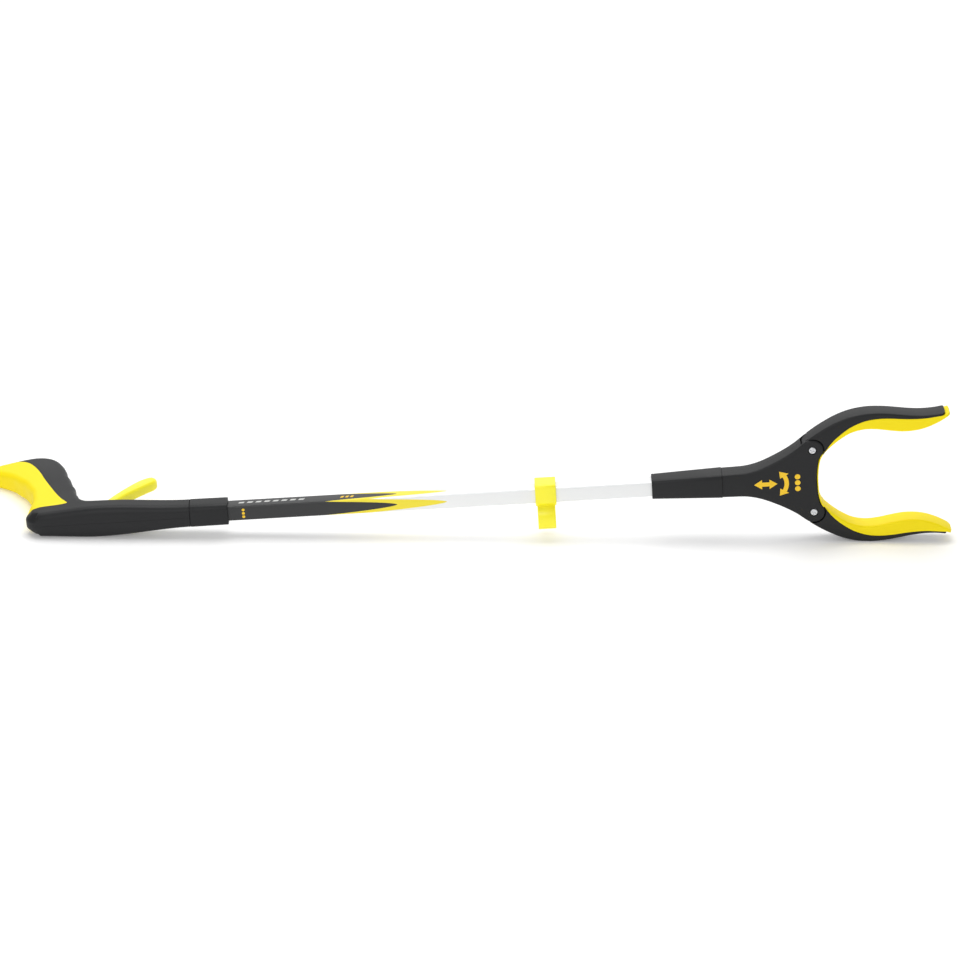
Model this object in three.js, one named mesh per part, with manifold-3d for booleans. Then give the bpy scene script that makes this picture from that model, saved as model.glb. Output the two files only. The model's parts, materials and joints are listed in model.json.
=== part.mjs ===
// Reacher grabber: a pistol handle with a trigger, a square aluminium shaft, and a turning head with two jaws.
// The shaft lies along +X with the jaws at the +X end, the grip points to +Y and +Z is up.
// The object lies on its side on a table, nose up, because the open jaws are taller than the handle.
// Every piece is drawn in the shaft's own frame: x = 0 at the handle's rear end, y = z = 0 on the shaft's axis.

import * as THREE from 'three';
import { mergeVertices } from 'three/addons/utils/BufferGeometryUtils.js';
import Module from 'manifold-3d';

const wasm = await Module();
wasm.setup();

// ---- Driving dimensions, mm and degrees ----
const GAP = 0.3; // clearance between touching pieces
const WALL = 2.2; // moulded wall
const LIE = 3.95; // nose-up angle of the object at rest on a table

const HANDLE_END = 142; // x where the handle shells meet the collar
const HANDLE_FRONT_Y = 11; // half width of the handle body, across the trigger's plane of motion
const HANDLE_BACK_Y = 10;
const TAIL_HALF = 8; // half thickness of the grip's tail
const REAR_HALF = 10.4; // half thickness at the rear nose
const BELLY_HALF = 14.4; // half thickness where the trigger is pivoted
const NECK_HALF = 10.4; // half thickness at the collar
const BELLY_X = 65;
const EDGE = 4; // edge rounding of the handle
const PAD = 2.4; // thickness of the soft grip pad

const TUBE = 14; // square shaft tube
const TUBE_WALL = 1;
const TUBE_CORNER = 2;
const TUBE_START = 112;
const TUBE_END = 575;
const ROD_RADIUS = 1.5;

const PIVOT = [62, -4.5]; // trigger pivot, x and y
const ROD_OFFSET = 4; // y of the clevis pin
const STROKE = 5.5; // travel of the rod at full squeeze
const JAW_SWING = 25; // how far each jaw closes, degrees

const COLLAR_FRONT = 175; // front end of the handle's collar
const CLIP_START = 440;
const CLIP_END = 458;
const HEAD_COLLAR_START = 540.5;
const HEAD_COLLAR_END = 601;
const LIP = 4; // inner lip at the head collar's mouth
const PULL = 4; // how far the head pulls out before it turns

const HEAD_START = 601.6;
const HEAD_HALF = 9.5; // half width of the head across the jaws
const EAR_WALL = 3; // wall of the head over a jaw's hub
const JAW_PIVOT_X = 679;
const JAW_PIVOT_Z = 29.2;
const EAR_RADIUS = 10;
const MOUTH_X = 682.3;
const JAW_ARM_HALF = 9.2; // half width of a jaw
const DRIVE_ANGLE = 12; // the drive arm's lean from the shaft's normal at rest
const PIN_RADIUS = 1.5;

const degrees = THREE.MathUtils.degToRad;

// Jaw pivot to drive pin: the rod's stroke swings the drive arm from its rest angle by the jaw's swing.
const DRIVE_ARM = STROKE / (Math.sin(degrees(DRIVE_ANGLE + JAW_SWING)) - Math.sin(degrees(DRIVE_ANGLE)));

// ---- Materials ----
function finish(color, roughness, metalness = 0) {
  return new THREE.MeshStandardMaterial({ color, roughness, metalness });
}

const blackPlastic = () => finish('#2b2b2d', 0.55);
const yellowRubber = () => finish('#f7e733', 0.6);
const yellowPlastic = () => finish('#ffee33', 0.35);
const whitePlastic = () => finish('#e9e7e0', 0.5);
const aluminium = () => finish('#e2e3e3', 0.35, 0.85);
const steel = () => finish('#b9bcc0', 0.3, 1);

// ---- Solids: three.js shapes, joined and cut by manifold-3d ----
function solid(geometry) {
  const bare = geometry.clone();
  bare.deleteAttribute('normal');
  bare.deleteAttribute('uv');
  const merged = mergeVertices(bare, 1e-4);
  const vertProperties = new Float32Array(merged.attributes.position.array);
  const triVerts = new Uint32Array(merged.index.array);
  return new wasm.Manifold(new wasm.Mesh({ numProp: 3, vertProperties, triVerts }));
}

function part(name, body, material) {
  const { vertProperties, triVerts } = body.getMesh();
  const geometry = new THREE.BufferGeometry();
  geometry.setAttribute('position', new THREE.BufferAttribute(new Float32Array(vertProperties), 3));
  geometry.setIndex(new THREE.BufferAttribute(new Uint32Array(triVerts), 1));
  geometry.computeVertexNormals();
  const mesh = new THREE.Mesh(geometry, material);
  mesh.name = name;
  return mesh;
}

// An outline drawn in (x, y), (x, z) or (y, z) and extruded along the third axis.
const PLANES = {
  z: new THREE.Matrix4(),
  y: new THREE.Matrix4().makeBasis(
    new THREE.Vector3(1, 0, 0), new THREE.Vector3(0, 0, 1), new THREE.Vector3(0, -1, 0)),
  x: new THREE.Matrix4().makeBasis(
    new THREE.Vector3(0, 1, 0), new THREE.Vector3(0, 0, 1), new THREE.Vector3(1, 0, 0)),
};

// The points of an outline, without doubled ones and without those in the middle of a straight stretch.
function outlinePoints(shape, fineness = 10) {
  const all = shape.getPoints(fineness);
  const points = all.filter((point, i) => point.distanceTo(all[(i + 1) % all.length]) > 0.01);
  return points.filter((point, i) => {
    const before = points[(i + points.length - 1) % points.length].clone().sub(point);
    const after = points[(i + 1) % points.length].clone().sub(point);
    return Math.abs(before.cross(after)) > 1e-4 * before.length() * after.length();
  });
}

function prism(axis, shape, low, high, bevel = 0) {
  const [start, end] = axis === 'y' ? [-high, -low] : [low, high];
  const geometry = new THREE.ExtrudeGeometry(new THREE.Shape(outlinePoints(shape)), {
    depth: end - start - 2 * bevel,
    bevelEnabled: bevel > 0,
    bevelSize: bevel,
    bevelOffset: -bevel,
    bevelThickness: bevel,
    bevelSegments: 2,
  });
  geometry.translate(0, 0, start + bevel);
  geometry.applyMatrix4(PLANES[axis]);
  return geometry;
}

function polygon(points) {
  return new THREE.Shape(points.map(([a, b]) => new THREE.Vector2(a, b)));
}

function box(low, high) {
  const size = low.map((value, i) => high[i] - value);
  const geometry = new THREE.BoxGeometry(...size);
  geometry.translate(...low.map((value, i) => value + size[i] / 2));
  return solid(geometry);
}

// A round bar along an axis; at holds the two coordinates across it, in x, y, z order.
function bar(axis, radius, low, high, at = [0, 0], sides = 18) {
  const shape = new THREE.Shape();
  shape.absarc(at[0], at[1], radius, 0, 2 * Math.PI);
  const points = shape.getSpacedPoints(sides).slice(0, -1);
  return solid(prism(axis, new THREE.Shape(points), low, high));
}

function roundedSquare(half, corner) {
  const shape = new THREE.Shape();
  const flat = half - corner;
  shape.absarc(flat, flat, corner, 0, Math.PI / 2);
  shape.absarc(-flat, flat, corner, Math.PI / 2, Math.PI);
  shape.absarc(-flat, -flat, corner, Math.PI, 1.5 * Math.PI);
  shape.absarc(flat, -flat, corner, 1.5 * Math.PI, 2 * Math.PI);
  return new THREE.Shape(shape.getPoints(3));
}

function squareBar(half, corner, low, high) {
  return solid(prism('x', roundedSquare(half, corner), low, high));
}

// A straight slot with round ends between two points, extruded along an axis.
function slotBar(axis, from, to, radius, low, high) {
  const angle = Math.atan2(to[1] - from[1], to[0] - from[0]);
  const shape = new THREE.Shape();
  shape.absarc(to[0], to[1], radius, angle - Math.PI / 2, angle + Math.PI / 2);
  shape.absarc(from[0], from[1], radius, angle + Math.PI / 2, angle + 1.5 * Math.PI);
  return solid(prism(axis, new THREE.Shape(shape.getPoints(6)), low, high));
}

function join(...bodies) {
  return bodies.reduce((sum, body) => sum.add(body));
}

function cut(body, ...tools) {
  return tools.reduce((rest, tool) => rest.subtract(tool), body);
}

// A closed outline shrunk by a distance, point by point along its own inward normal.
function shrink(shape, distance) {
  const points = outlinePoints(shape);
  const turn = THREE.ShapeUtils.isClockWise(points) ? 1 : -1;
  return new THREE.Shape(points.map((point, i) => {
    const before = points[(i + points.length - 1) % points.length];
    const after = points[(i + 1) % points.length];
    const along = after.clone().sub(before).normalize();
    return new THREE.Vector2(point.x + turn * along.y * distance, point.y - turn * along.x * distance);
  }));
}

// ---- Handle ----
// Half thickness of the handle at x: thin at the tail and the collar, thickest over the trigger's pivot.
function handleHalf(x) {
  const stations = [[-36, TAIL_HALF], [0, REAR_HALF], [BELLY_X, BELLY_HALF], [HANDLE_END, NECK_HALF]];
  const last = stations.length - 1;
  if (x <= stations[0][0]) return TAIL_HALF;
  if (x >= stations[last][0]) return NECK_HALF;
  const i = stations.findIndex(([end]) => x < end) - 1;
  const [x0, h0] = stations[i];
  const [x1, h1] = stations[i + 1];
  const t = (x - x0) / (x1 - x0);
  const ease = i === 0 ? t : t * t * (3 - 2 * t);
  return h0 + (h1 - h0) * ease;
}

function handleOutline() {
  const at = (list) => list.map(([x, y]) => new THREE.Vector2(x, y));
  const shape = new THREE.Shape();
  shape.moveTo(HANDLE_END, -HANDLE_BACK_Y);
  shape.lineTo(100, -10.8);
  shape.lineTo(BELLY_X, -HANDLE_FRONT_Y);
  shape.lineTo(14, -HANDLE_FRONT_Y);
  shape.splineThru(at([[4, -8], [0, 0], [3, 14], [5, 28], [1.5, 46], [-7, 63], [-17, 78], [-28, 86.5],
    [-37, 92]]));
  shape.splineThru(at([[-40, 98], [-37, 104], [-23, 110], [-5, 114.6], [8, 114], [18.5, 106.5], [26, 95]]));
  shape.splineThru(at([[30.5, 82], [35.2, 64], [41, 43], [44.8, 26], [49.5, 15], [60, HANDLE_BACK_Y]]));
  shape.lineTo(100, HANDLE_BACK_Y + 0.3);
  shape.lineTo(HANDLE_END, HANDLE_BACK_Y);
  return new THREE.Shape(outlinePoints(shape, 1));
}

// A flat-sided form, made as thick as the handle is at each x, less an inset.
function handleSlab(outline, inset, edge) {
  const half = BELLY_HALF - inset;
  const geometry = prism('z', outline, -half, half, edge);
  const place = geometry.attributes.position;
  for (let i = 0; i < place.count; i += 1) {
    place.setZ(i, place.getZ(i) * (handleHalf(place.getX(i)) - inset) / half);
  }
  return solid(geometry);
}

function handleForm(inset) {
  const outline = inset > 0 ? shrink(handleOutline(), inset) : handleOutline();
  return handleSlab(outline, inset, inset > 0 ? 1 : EDGE);
}

// The hollow of the body and of the upper half of the grip.
function handleHollow() {
  const under = [[HANDLE_END - 2, -7.6], [100, -8.3], [BELLY_X, -8.8], [16, -8.4], [7.6, -5], [6.5, 4]];
  const grip = [[10, 26], [8, 45], [1.5, 63], [-5, 78], [2, 92], [14, 97], [22, 89], [27.5, 78], [32, 62],
    [36.8, 42], [40.3, 25]];
  const over = [[46, 11], [54, 7.9], [100, 8.1], [HANDLE_END - 2, 7.7]];
  const outline = polygon([...under, ...grip, ...over]);
  return handleSlab(outline, PAD + WALL - 1.6, 1);
}

// The palm side of the grip, seen along z; grow moves its edge out into the shells.
function padRegion(grow) {
  const rise = [-1, -1, 0, 0, 0, 0, 1, 1, 1];
  const edge = [[1, 12], [24, 8], [31, 15], [24, 32], [18, 48], [6.5, 80], [-1, 98], [-13, 105.5], [-55, 107]];
  return polygon([...edge.map(([x, y], i) => [x + grow, y + rise[i] * grow]), [-55, 60], [-20, 12 - grow]]);
}

const handleScrews = [[20, -1], [22, 88], [36, 30], [29, 60]];

function screwPost([x, y], half) {
  return bar('z', 3.6, -half, half, [x, y], 14);
}

function handleBody() {
  const outer = handleForm(0);
  const padBed = cut(solid(prism('z', padRegion(GAP), -30, 30)), handleForm(PAD));
  const cavity = handleHollow();
  const posts = handleScrews.map((place) => screwPost(place, handleHalf(place[0]) - 3));
  const ribs = [box([87, -11, -12], [89.4, 10, 12]), box([108, -11, -12], [HANDLE_END + 1, 10, 12])];
  const insides = cut(cavity, ...posts, ...ribs);
  const socket = squareBar(TUBE / 2 + GAP, TUBE_CORNER, TUBE_START - GAP, HANDLE_END + 5);
  const rodBore = bar('x', ROD_RADIUS + 0.5, 80, TUBE_START + 1, [0, 0], 12);
  const springWell = bar('x', 5.2, 89.4, 110.5);
  const mouth = box([49, 4, -6.3], [83, 20, 6.3]);
  const sweep = polygon([[48, -2], [60, -8.7], [76, -8.7], [86.7, 0], [86.7, 9], [48, 9]]);
  const triggerRoom = solid(prism('z', sweep, -6.3, 6.3));
  const pinBore = bar('z', PIN_RADIUS + GAP, -10.4, 10.4, PIVOT, 14);
  const pinPost = bar('z', 3.6, -14, 14, PIVOT, 14);
  const room = cut(insides, cut(pinPost, box([50, -20, -6.3], [75, 20, 6.3])));
  const body = cut(outer, padBed, room, socket, rodBore, springWell, mouth, triggerRoom, pinBore);
  return cut(body, box([HANDLE_END, -20, -20], [HANDLE_END + 20, 20, 20]));
}

function screwRoom([x, y], half) {
  const shank = bar('z', 1.5 + GAP, -half, half - 3.4, [x, y], 12);
  const head = bar('z', 2.8 + GAP, -half - 5, -half + 2.4, [x, y], 14);
  return join(shank, head);
}

function handleShells() {
  const body = cut(handleBody(), ...handleScrews.map((place) => screwRoom(place, handleHalf(place[0]))));
  const left = body.intersect(box([-60, -40, GAP / 2], [200, 160, 40]));
  const right = body.intersect(box([-60, -40, -40], [200, 160, -GAP / 2]));
  return [
    part('handle_shell_left', left, blackPlastic()),
    part('handle_shell_right', right, blackPlastic()),
  ];
}

function gripPad() {
  const skin = cut(handleForm(0), handleForm(PAD - GAP));
  return part('grip_pad', skin.intersect(solid(prism('z', padRegion(0), -30, 30))), yellowRubber());
}

function handleScrew(place, index) {
  const half = handleHalf(place[0]);
  const shank = bar('z', 1.5, -half + 1, half - 3.8, place, 12);
  const head = bar('z', 2.8, -half + 0.5, -half + 2.1, place, 14);
  const slot = bar('z', 0.9, -half, -half + 1.3, place, 6);
  return part(`handle_screw_${index + 1}`, cut(join(shank, head), slot), steel());
}

function handleCollar() {
  const outer = solid(prism('x', roundedSquare(10.2, 3), HANDLE_END + GAP, COLLAR_FRONT, 0.8));
  const bore = squareBar(TUBE / 2 + GAP, TUBE_CORNER, HANDLE_END - 1, COLLAR_FRONT + 1);
  const screw = bar('z', 1.5 + GAP, -12, -5, [158, 0], 12);
  return part('handle_collar', cut(outer, bore, screw), blackPlastic());
}

function collarScrew(name, x, outside) {
  const shank = bar('z', 1.5, -outside + 0.4, -TUBE / 2 + TUBE_WALL - 0.6, [x, 0], 12);
  const drive = bar('z', 0.8, -outside, -outside + 1.2, [x, 0], 6);
  return part(name, cut(shank, drive), steel());
}

// ---- Trigger, rod and return spring ----
function triggerOutline() {
  const at = (list) => list.map(([x, y]) => new THREE.Vector2(x, y));
  const shape = new THREE.Shape();
  shape.moveTo(58.2, -4);
  shape.splineThru(at([[60.4, 6], [63.6, 16], [67.7, 27], [76.2, 41.5], [85, 54], [92.5, 62.5], [98.5, 66.5]]));
  shape.quadraticCurveTo(106, 69.5, 107.8, 62.5);
  shape.splineThru(at([[105.4, 58], [100, 52.5], [92, 44.5], [84, 35.5], [77.4, 25.5], [73, 14], [70, 4]]));
  shape.lineTo(65.9, -3.6);
  return new THREE.Shape(outlinePoints(shape, 1));
}

// The clevis pin runs in a slot of the trigger, so that it can travel straight along the shaft.
function trigger() {
  const lean = Math.atan(STROKE / 2 / (ROD_OFFSET - PIVOT[1]));
  const across = (reach) => [PIVOT[0] + Math.sin(lean) * reach, PIVOT[1] + Math.cos(lean) * reach];
  const blade = solid(prism('z', triggerOutline(), -5.5, 5.5, 1.4));
  const hub = bar('z', 4, -6, 6, PIVOT);
  const slot = slotBar('z', across(7.6), across(10.2), PIN_RADIUS + GAP, -8, 8);
  const cheeks = [[3.2, 8], [-8, -3.2]].map(([low, high]) => box([50, -9, low], [88, 9.4, high]));
  const bore = bar('z', PIN_RADIUS + GAP, -8, 8, PIVOT, 14);
  return part('trigger', cut(join(cut(blade, ...cheeks), hub), slot, bore), yellowPlastic());
}

function triggerPin() {
  return part('trigger_pin', bar('z', PIN_RADIUS, -10, 10, PIVOT, 14), steel());
}

const clevisX = PIVOT[0] + STROKE / 2;

function rodClevis() {
  const body = box([77.5, -2.9, -5.2], [84, 7.6, 5.2]);
  const arms = [[3.5, 5.2], [-5.2, -3.5]].map(([low, high]) => {
    return box([clevisX - 3, 0.4, low], [78, 7.6, high]);
  });
  const pin = bar('z', PIN_RADIUS + GAP, -8, 8, [clevisX, ROD_OFFSET], 14);
  const rod = bar('x', ROD_RADIUS + GAP, 79.5, 90, [0, 0], 12);
  return part('rod_clevis', cut(join(body, ...arms), pin, rod), steel());
}

function clevisPin() {
  return part('clevis_pin', bar('z', PIN_RADIUS, -5.6, 5.6, [clevisX, ROD_OFFSET], 14), steel());
}

const ROD_END = 655;

function pullRod() {
  return part('pull_rod', bar('x', ROD_RADIUS, 80, ROD_END, [0, 0], 12), steel());
}

function coil(name, radius, wire, low, high, turns) {
  class Helix extends THREE.Curve {
    getPoint(t) {
      const angle = 2 * Math.PI * turns * t;
      const x = low + wire + (high - low - 2 * wire) * t;
      return new THREE.Vector3(x, radius * Math.cos(angle), radius * Math.sin(angle));
    }
  }
  const section = new THREE.Shape();
  section.absarc(0, 0, wire, 0, 2 * Math.PI);
  const geometry = new THREE.ExtrudeGeometry(new THREE.Shape(section.getSpacedPoints(6).slice(0, -1)), {
    steps: 10 * turns,
    extrudePath: new Helix(),
    bevelEnabled: false,
  });
  return part(name, solid(geometry), steel());
}

function springCollar() {
  const ring = bar('x', 4.6, 106.2, 108, [0, 0], 14);
  return part('spring_collar', cut(ring, bar('x', ROD_RADIUS + 0.05, 105, 109, [0, 0], 12)), steel());
}

// ---- Shaft ----
function shaftTube() {
  const outer = squareBar(TUBE / 2, TUBE_CORNER, TUBE_START, TUBE_END);
  const inner = squareBar(TUBE / 2 - TUBE_WALL, TUBE_CORNER - TUBE_WALL, TUBE_START - 1, TUBE_END + 1);
  const holes = [158, 556].map((x) => bar('z', 1.5 + GAP, -9, -5, [x, 0], 12));
  return part('shaft_tube', cut(outer, inner, ...holes), aluminium());
}

function rodGuide(name, x) {
  const plug = squareBar(TUBE / 2 - TUBE_WALL - GAP, 0.6, x, x + 12);
  return part(name, cut(plug, bar('x', ROD_RADIUS + GAP, x - 1, x + 13, [0, 0], 12)), whitePlastic());
}

// A square sleeve that slides on the tube, with an open ring under it that clips on a walking stick.
function shaftClip() {
  const ringZ = -20.6;
  const inner = 10.6;
  const outer = 13.2;
  const sleeve = new THREE.Shape();
  sleeve.moveTo(9.6, -6);
  sleeve.lineTo(9.6, 8.4);
  sleeve.quadraticCurveTo(9.6, 11, 7, 11);
  sleeve.lineTo(-7, 11);
  sleeve.quadraticCurveTo(-9.6, 11, -9.6, 8.4);
  sleeve.lineTo(-9.6, -6);
  sleeve.lineTo(-6, -9.8);
  sleeve.lineTo(6, -9.8);
  const body = solid(prism('x', sleeve, CLIP_START, CLIP_END, 0.6));
  const middle = (CLIP_START + CLIP_END) / 2;
  const ring = bar('x', outer, middle - 7.7, middle + 7.7, [0, ringZ], 30);
  const hollow = bar('x', inner, CLIP_START - 1, CLIP_END + 1, [0, ringZ], 26);
  const mouth = solid(prism('x', polygon([[0, ringZ], [-16, ringZ - 20], [16, ringZ - 20]]), 430, 470));
  const bore = squareBar(TUBE / 2 + GAP, TUBE_CORNER, CLIP_START - 1, CLIP_END + 1);
  return part('shaft_clip', cut(join(body, ring), hollow, mouth, bore), yellowPlastic());
}

// ---- Swivel between the shaft and the head ----
function headCollar() {
  const length = HEAD_COLLAR_END - HEAD_COLLAR_START;
  const geometry = prism('x', roundedSquare(11.1, 3.4), HEAD_COLLAR_START, HEAD_COLLAR_END, 0.8);
  const place = geometry.attributes.position;
  for (let i = 0; i < place.count; i += 1) {
    const along = (place.getX(i) - HEAD_COLLAR_START) / length;
    const scale = THREE.MathUtils.lerp(9.1 / 11.1, 1, along);
    place.setY(i, place.getY(i) * scale);
    place.setZ(i, place.getZ(i) * scale);
  }
  const socket = squareBar(TUBE / 2 + GAP, TUBE_CORNER, HEAD_COLLAR_START - 1, TUBE_END + GAP);
  const well = bar('x', 7.4, TUBE_END, HEAD_COLLAR_END - LIP);
  const mouth = bar('x', 5, TUBE_END, HEAD_COLLAR_END + 1);
  const screw = bar('z', 1.5 + GAP, -12, -5, [556, 0], 12);
  return part('head_collar', cut(solid(geometry), socket, well, mouth, screw), blackPlastic());
}

function swivelSpigot() {
  const stem = bar('x', 4.6, 578, 618);
  const flange = bar('x', 7, 606.3, 609.3);
  const groove = cut(bar('x', 6, 580, 582), bar('x', 3.6, 579, 583));
  const bore = bar('x', ROD_RADIUS + 0.6, 577, 619, [0, 0], 12);
  return part('swivel_spigot', cut(join(stem, flange), groove, bore), whitePlastic());
}

function retainingRing() {
  const ring = cut(bar('x', 6.8, 580.3, 581.7), bar('x', 3.9, 579, 583));
  const opening = box([579, -1.6, -9], [583, 1.6, 0]);
  return part('retaining_ring', cut(ring, opening), steel());
}

// ---- Head ----
// Upper half of the head's outline, from the neck to the ear around a jaw pivot and down into the mouth.
const headEdge = [[HEAD_START, 10.4], [614, 10.8], [622, 11.2], [630, 13], [638, 15.8], [647, 20], [656, 24.8],
  [664, 29.8], [671.2, 35.4]];

function earArc(radius, from, to, steps) {
  return Array.from({ length: steps + 1 }, (_, i) => {
    const angle = degrees(from + (to - from) * i / steps);
    return [JAW_PIVOT_X + radius * Math.cos(angle), JAW_PIVOT_Z + radius * Math.sin(angle)];
  });
}

function mirrored(points) {
  return [...points].reverse().map(([x, z]) => [x, -z]);
}

const mouthEdge = [[684.6, 20.4], [683.1, 13], [682.5, 6.5]];

function headOutline() {
  const upper = [...headEdge, ...earArc(EAR_RADIUS, 136, -52, 9), ...mouthEdge];
  return polygon([...upper, [MOUTH_X, 0], ...mirrored(upper)].reverse());
}

function headHollow() {
  const inner = [[626, 8.2], [632, 10.6], [640, 13.6], [649, 18], [658, 22.8], [666, 28], [671, 33]];
  const front = [[679, 36], [681.5, 26], [681, 20], [680.4, 10]];
  const upper = [...inner, ...front];
  return polygon([...upper, ...mirrored(upper)].reverse());
}

function head() {
  const reach = HEAD_HALF - EAR_WALL;
  const outer = solid(prism('y', headOutline(), -HEAD_HALF, HEAD_HALF, 1.2));
  const hollow = solid(prism('y', headHollow(), -reach, reach));
  const hubs = [1, -1].map((side) => {
    return bar('y', EAR_RADIUS + 1, -reach, reach, [JAW_PIVOT_X, side * JAW_PIVOT_Z], 24);
  });
  const bores = [1, -1].flatMap((side) => {
    const at = [JAW_PIVOT_X, side * JAW_PIVOT_Z];
    return [
      bar('y', 2.3, -20, 20, at, 14),
      bar('y', 3.9, -20, -HEAD_HALF + 1.7, at, 14),
      bar('y', 3.9, HEAD_HALF - 1.7, 20, at, 14),
    ];
  });
  const stem = bar('x', 4.6 + GAP, HEAD_START - 1, 618.4);
  const flange = bar('x', 7 + GAP, 606, 609.6);
  const rod = bar('x', ROD_RADIUS + 0.6, 617, 640, [0, 0], 12);
  const tail = box([620, -3.1, -3.1], [640, 3.1, 3.1]);
  return cut(outer, hollow, ...hubs, ...bores, stem, flange, rod, tail);
}

function headShells() {
  const body = head();
  const front = body.intersect(box([590, -20, -60], [700, -GAP / 2, 60]));
  const back = body.intersect(box([590, GAP / 2, -60], [700, 20, 60]));
  return [part('head_shell_front', front, blackPlastic()), part('head_shell_back', back, blackPlastic())];
}

// A thin soft liner across the head's mouth, between the two jaw pads.
function mouthWeb() {
  const upper = [[686.2, 19.2], [684.4, 13], [683.8, 6.5]];
  const inner = [[683, 6.5], [683.6, 13], [685.3, 19.2]];
  const web = polygon([...upper, [683.6, 0], ...mirrored(upper), ...inner.map(([x, z]) => [x, -z]).reverse(),
    [682.8, 0], ...inner]);
  return part('mouth_web', solid(prism('y', web, -JAW_ARM_HALF, JAW_ARM_HALF)), yellowRubber());
}

// ---- Crosshead that turns the rod's pull into the jaws' swing ----
const lean = degrees(DRIVE_ANGLE);
const driveX = JAW_PIVOT_X - DRIVE_ARM * Math.sin(lean);
const driveZ = JAW_PIVOT_Z - DRIVE_ARM * Math.cos(lean);

function carriage() {
  const block = box([645, -5.8, -8], [668, 5.8, 8]);
  const cheeks = [[-5.8, -3.4], [3.4, 5.8]].map(([low, high]) => {
    const cheek = polygon([[660, -8], [670.5, -19.3], [679.2, -19.3], [679.6, 0], [679.2, 19.3], [670.5, 19.3],
      [660, 8]]);
    return solid(prism('y', cheek, low, high));
  });
  const slots = [1, -1].map((side) => {
    const near = [driveX, side * (driveZ - 0.5)];
    const far = [driveX, side * (driveZ + 3.1)];
    return slotBar('y', near, far, PIN_RADIUS + GAP, -10, 10);
  });
  const pocket = bar('x', 4.4, ROD_END - PULL - 1, 665, [0, 0], 14);
  const rodWay = bar('x', ROD_RADIUS + 0.5, 640, 651, [0, 0], 12);
  return part('carriage', cut(join(block, ...cheeks), ...slots, pocket, rodWay), whitePlastic());
}

function rodButton() {
  const button = bar('x', 3.9, ROD_END - 0.4, ROD_END + 4, [0, 0], 14);
  return part('rod_button', cut(button, bar('x', ROD_RADIUS + GAP, 650, ROD_END + GAP, [0, 0], 12)), steel());
}

// ---- Jaws ----
// Outer edge, seam between plastic and rubber, and inner edge of the upper jaw, from the root to the tip.
const jawOuter = [[676, 39.2], [682, 43.6], [689, 48.3], [696, 52.1], [703, 55.5], [710, 57.9], [718, 59.7],
  [727, 60.6], [737, 60.4], [747, 59.3], [757, 57.8], [767, 56.2], [777, 55.8], [786, 56.4]];
const jawSeam = [[687.6, 24.6], [689.4, 27.2], [696, 35.7], [703, 42.3], [709, 47.2], [716, 51], [723, 53.8],
  [730, 55.2], [738, 56], [745, 55.8], [752, 54.9], [760, 54.1], [770, 53.8], [778, 54.2], [786, 55.2]];
const padInner = [[688.4, 23.4], [696, 31.8], [703, 37.6], [709, 41.6], [716, 44.4], [723, 45.6], [730, 45.7],
  [738, 44.8], [746, 43.3], [754, 42], [762, 41.6], [770, 42.2], [778, 44.4], [785, 47.2], [791, 50.4]];

function jawArmBody() {
  const drive = [driveX, driveZ];
  const pivot = [JAW_PIVOT_X, JAW_PIVOT_Z];
  const reach = HEAD_HALF - EAR_WALL - GAP;
  const root = [pivot, [674, 36]];
  const tip = [[793.4, 57.6], [794, 56.8]];
  const beam = polygon([...root, ...jawOuter, ...tip, ...[...jawSeam].reverse()].reverse());
  const body = solid(prism('y', beam, -JAW_ARM_HALF, JAW_ARM_HALF));
  const ears = [[-20, -reach], [reach, 20]].map(([low, high]) => {
    return bar('y', EAR_RADIUS + 0.5, low, high, pivot, 24);
  });
  const hub = bar('y', EAR_RADIUS - 0.4, -reach, reach, pivot, 24);
  const arm = slotBar('y', pivot, drive, 3.3, -3, 3);
  const bores = [bar('y', 2.3, -10, 10, pivot, 14), bar('y', PIN_RADIUS + GAP, -10, 10, drive, 20)];
  return cut(join(cut(body, ...ears), hub, arm), ...bores);
}

function jawPadBody() {
  const back = jawSeam.slice(1).map(([x, z], i) => [x + (i < 5 ? 0.25 : 0), z - GAP - (i < 5 ? 0.1 : 0)]);
  const tip = [[795, 56.4], [797.6, 55.9], [797, 54]];
  const pad = polygon([...padInner, ...tip.reverse(), ...back.reverse()]);
  const body = solid(prism('y', pad, -JAW_ARM_HALF, JAW_ARM_HALF, 0.5));
  return cut(body, bar('y', EAR_RADIUS + 0.6, -20, 20, [JAW_PIVOT_X, JAW_PIVOT_Z], 36));
}

const flip = new THREE.Matrix4().makeScale(1, 1, -1).toArray();

function jaws() {
  const arm = jawArmBody();
  const pad = jawPadBody();
  return [
    part('jaw_arm_upper', arm, blackPlastic()),
    part('jaw_arm_lower', arm.transform(flip), blackPlastic()),
    part('jaw_pad_upper', pad, yellowRubber()),
    part('jaw_pad_lower', pad.transform(flip), yellowRubber()),
  ];
}

function jawFasteners(name, side) {
  const at = [JAW_PIVOT_X, side * JAW_PIVOT_Z];
  const shank = bar('y', 2, -HEAD_HALF + 1, HEAD_HALF - 0.4, at, 14);
  const head = bar('y', 3.5, -HEAD_HALF + 0.1, -HEAD_HALF + 1.4, at, 14);
  const recess = bar('y', 1.2, -HEAD_HALF - 1, -HEAD_HALF + 0.8, at, 6);
  const nut = cut(bar('y', 3.5, HEAD_HALF - 1.4, HEAD_HALF - 0.2, at, 6), bar('y', 2.3, 5, 12, at, 14));
  const pin = bar('y', PIN_RADIUS, -5.7, 5.7, [driveX, side * driveZ], 14);
  return [
    part(`jaw_screw_${name}`, cut(join(shank, head), recess), steel()),
    part(`jaw_nut_${name}`, nut, steel()),
    part(`drive_pin_${name}`, pin, steel()),
  ];
}

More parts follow.
